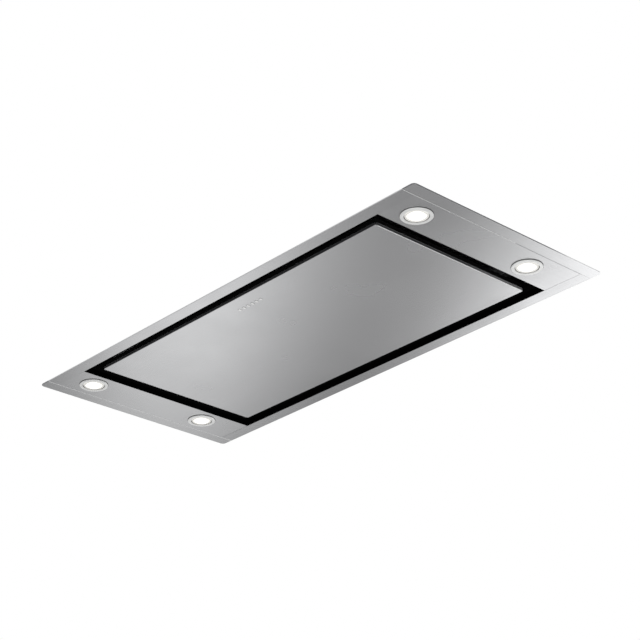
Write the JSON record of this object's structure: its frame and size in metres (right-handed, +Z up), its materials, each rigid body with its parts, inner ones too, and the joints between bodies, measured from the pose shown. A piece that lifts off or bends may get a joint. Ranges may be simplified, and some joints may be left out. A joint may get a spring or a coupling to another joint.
{
  "type": "ceiling range hood",
  "caption": "Flush ceiling cooker hood: a swing-down suction panel with push keys in a lit steel frame, over grease filters, a centrifugal fan and a duct collar.",
  "frame": {"origin": "centre of the frame in the ceiling plane, where the frame's outer rim touches the ceiling", "axes": "+X along the hood, +Y from the key side to the hinge side, +Z up into the ceiling"},
  "size_m": [1.1, 0.5, 0.3822],
  "materials": {
    "frame_steel": "fine brushed stainless steel",
    "plate_steel": "fine brushed stainless steel",
    "panel_steel": "fine brushed stainless steel",
    "key_metal": "satin light grey",
    "bezel": "polished",
    "lens": "frosted, lit",
    "black_metal": "matt black powder coat",
    "galvanised": "galvanised sheet",
    "spring_steel": "zinc plated",
    "aluminium": "mill finish",
    "filter_mesh": "layered expanded aluminium mesh",
    "magnet": "ferrite",
    "motor_paint": "black painted",
    "impeller_plastic": "moulded",
    "black_plastic": "moulded",
    "white_plastic": "moulded",
    "circuit_board": "solder mask",
    "rubber": "matt",
    "foam": "open cell foam"
  },
  "bodies": {
    "housing": {"frame_end_left": "frame_steel", "frame_end_right": "frame_steel", "frame_rail_front": "frame_steel", "frame_rail_rear": "frame_steel", "frame_corner_brackets": "galvanised", "light_plate_left": "plate_steel", "light_plate_right": "plate_steel", "light_bezels": "bezel", "light_lenses": "lens", "light_heat_sinks": "black_metal", "light_spring_clips": "spring_steel", "led_driver": "white_plastic", "slot_liner": "black_metal", "filter_tray": "black_metal", "filter_rails": "black_metal", "filter_frame_1": "aluminium", "filter_frame_2": "aluminium", "filter_frame_3": "aluminium", "filter_mesh_1": "filter_mesh", "filter_mesh_2": "filter_mesh", "filter_mesh_3": "filter_mesh", "housing_walls": "galvanised", "housing_cover": "galvanised", "suspension_brackets": "galvanised", "fan_side_left": "galvanised", "fan_side_right": "galvanised", "fan_scroll": "galvanised", "fan_inlet_rings": "black_plastic", "fan_motor": "motor_paint", "motor_bracket": "galvanised", "fan_rubber_mounts": "rubber", "outlet_collar": "black_plastic", "electrics_box": "galvanised", "electrics_lid": "galvanised", "cable_gland": "black_plastic", "terminal_block": "white_plastic", "run_capacitor": "white_plastic", "hinge_brackets": "spring_steel", "catch_brackets": "black_metal", "catch_magnets": "magnet"},
    "panel": {"panel_skin": "panel_steel", "panel_backing": "black_metal", "panel_pad": "foam", "control_carrier": "black_plastic", "control_board": "circuit_board", "panel_hinge_arms": "spring_steel", "strike_plates": "spring_steel"},
    "rotor": {"impeller": "impeller_plastic", "motor_shaft": "spring_steel"},
    "damper_front": {"damper_flap_front": "black_plastic"},
    "damper_rear": {"damper_flap_rear": "black_plastic"},
    "key_1": {"key_1": "key_metal"},
    "key_2": {"key_2": "key_metal"},
    "key_3": {"key_3": "key_metal"},
    "key_4": {"key_4": "key_metal"},
    "key_5": {"key_5": "key_metal"},
    "key_6": {"key_6": "key_metal"},
    "latch_1": {"filter_latch_1": "black_plastic"},
    "latch_2": {"filter_latch_2": "black_plastic"},
    "latch_3": {"filter_latch_3": "black_plastic"}
  },
  "joints": [
    {"name": "panel_hinge", "type": "hinge", "parent": "housing", "child": "panel", "pos_m": [0, 0.19, 0.022], "axis": [1, 0, 0], "range_deg": [0, 90]},
    {"name": "rotor_spin", "type": "hinge", "parent": "housing", "child": "rotor", "pos_m": [0, 0.056, 0.172], "axis": [1, 0, 0], "continuous": true},
    {"name": "damper_front_hinge", "type": "hinge", "parent": "housing", "child": "damper_front", "pos_m": [0, -0.004, 0.308], "axis": [-1, 0, 0], "range_deg": [0, 80]},
    {"name": "damper_rear_hinge", "type": "hinge", "parent": "housing", "child": "damper_rear", "pos_m": [0, 0.004, 0.308], "axis": [1, 0, 0], "range_deg": [0, 80]},
    {"name": "key_1_press", "type": "slide", "parent": "panel", "child": "key_1", "axis": [0, 0, 1], "range_m": [0, 0.0008], "stiffness_N_per_m": 400, "springref_m": -0.001},
    {"name": "key_2_press", "type": "slide", "parent": "panel", "child": "key_2", "axis": [0, 0, 1], "range_m": [0, 0.0008], "stiffness_N_per_m": 400, "springref_m": -0.001},
    {"name": "key_3_press", "type": "slide", "parent": "panel", "child": "key_3", "axis": [0, 0, 1], "range_m": [0, 0.0008], "stiffness_N_per_m": 400, "springref_m": -0.001},
    {"name": "key_4_press", "type": "slide", "parent": "panel", "child": "key_4", "axis": [0, 0, 1], "range_m": [0, 0.0008], "stiffness_N_per_m": 400, "springref_m": -0.001},
    {"name": "key_5_press", "type": "slide", "parent": "panel", "child": "key_5", "axis": [0, 0, 1], "range_m": [0, 0.0008], "stiffness_N_per_m": 400, "springref_m": -0.001},
    {"name": "key_6_press", "type": "slide", "parent": "panel", "child": "key_6", "axis": [0, 0, 1], "range_m": [0, 0.0008], "stiffness_N_per_m": 400, "springref_m": -0.001},
    {"name": "latch_1_slide", "type": "slide", "parent": "housing", "child": "latch_1", "axis": [0, 1, 0], "range_m": [0, 0.007], "stiffness_N_per_m": 200, "springref_m": -0.006},
    {"name": "latch_2_slide", "type": "slide", "parent": "housing", "child": "latch_2", "axis": [0, 1, 0], "range_m": [0, 0.007], "stiffness_N_per_m": 200, "springref_m": -0.006},
    {"name": "latch_3_slide", "type": "slide", "parent": "housing", "child": "latch_3", "axis": [0, 1, 0], "range_m": [0, 0.007], "stiffness_N_per_m": 200, "springref_m": -0.006}
  ]
}
